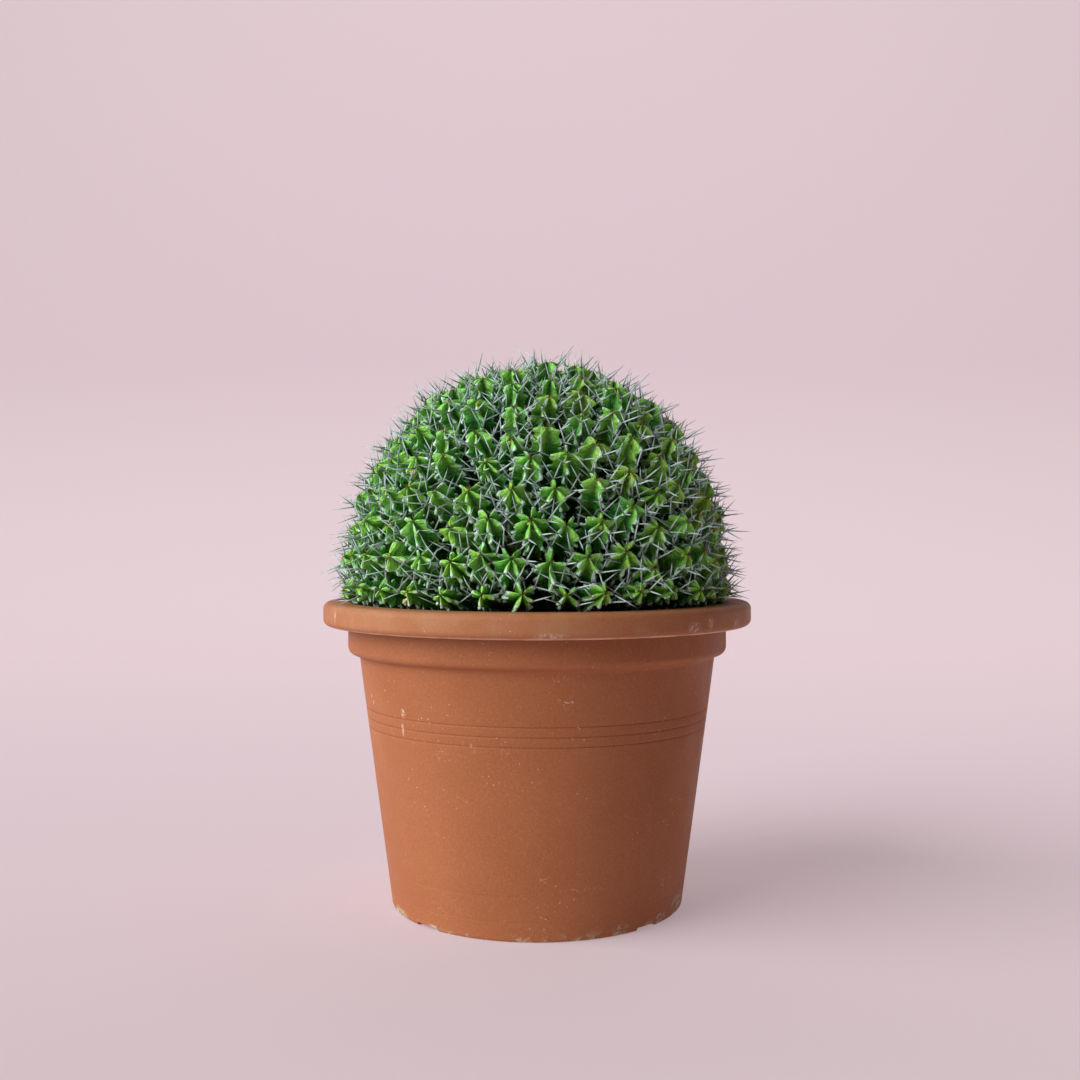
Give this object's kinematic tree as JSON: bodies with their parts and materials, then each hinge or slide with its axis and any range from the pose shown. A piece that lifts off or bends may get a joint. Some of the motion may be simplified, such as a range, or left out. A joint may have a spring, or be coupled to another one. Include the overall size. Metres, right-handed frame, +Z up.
{
  "type": "potted succulent",
  "caption": "Dome of crowded, ribbed, spiny succulent stems growing in a round tapered terracotta-coloured plastic pot with a rolled rim.",
  "frame": {"origin": "on the floor, under the middle of the pot", "axes": "+Z up the pot's axis towards the top of the plant; +X to the right and -Y to the front as the plant is seen from the front"},
  "size_m": [0.3, 0.3, 0.3791],
  "materials": {
    "terracotta_plastic": "satin",
    "potting_mix": "matte",
    "stem_skin": "satin"
  },
  "bodies": {
    "root": {"pot": "terracotta_plastic", "soil": "potting_mix", "branch_01": "stem_skin", "branch_02": "stem_skin", "branch_03": "stem_skin", "branch_04": "stem_skin", "branch_05": "stem_skin", "branch_06": "stem_skin", "branch_07": "stem_skin", "branch_08": "stem_skin", "branch_09": "stem_skin", "branch_10": "stem_skin", "branch_11": "stem_skin", "branch_12": "stem_skin", "branch_13": "stem_skin", "branch_14": "stem_skin", "branch_15": "stem_skin", "branch_16": "stem_skin", "branch_17": "stem_skin", "branch_18": "stem_skin", "branch_19": "stem_skin", "branch_20": "stem_skin", "branch_21": "stem_skin", "branch_22": "stem_skin", "branch_23": "stem_skin", "branch_24": "stem_skin", "branch_25": "stem_skin", "branch_26": "stem_skin", "branch_27": "stem_skin", "branch_28": "stem_skin", "branch_29": "stem_skin", "branch_30": "stem_skin", "branch_31": "stem_skin", "branch_32": "stem_skin", "branch_33": "stem_skin", "branch_34": "stem_skin", "branch_35": "stem_skin", "branch_36": "stem_skin", "branch_37": "stem_skin", "branch_38": "stem_skin", "branch_39": "stem_skin", "branch_40": "stem_skin", "branch_41": "stem_skin", "branch_42": "stem_skin", "branch_43": "stem_skin", "branch_44": "stem_skin", "branch_45": "stem_skin", "branch_46": "stem_skin", "branch_47": "stem_skin", "branch_48": "stem_skin", "branch_49": "stem_skin", "branch_50": "stem_skin", "branch_51": "stem_skin", "branch_52": "stem_skin", "branch_53": "stem_skin", "branch_54": "stem_skin", "branch_55": "stem_skin", "branch_56": "stem_skin"}
  },
  "joints": []
}
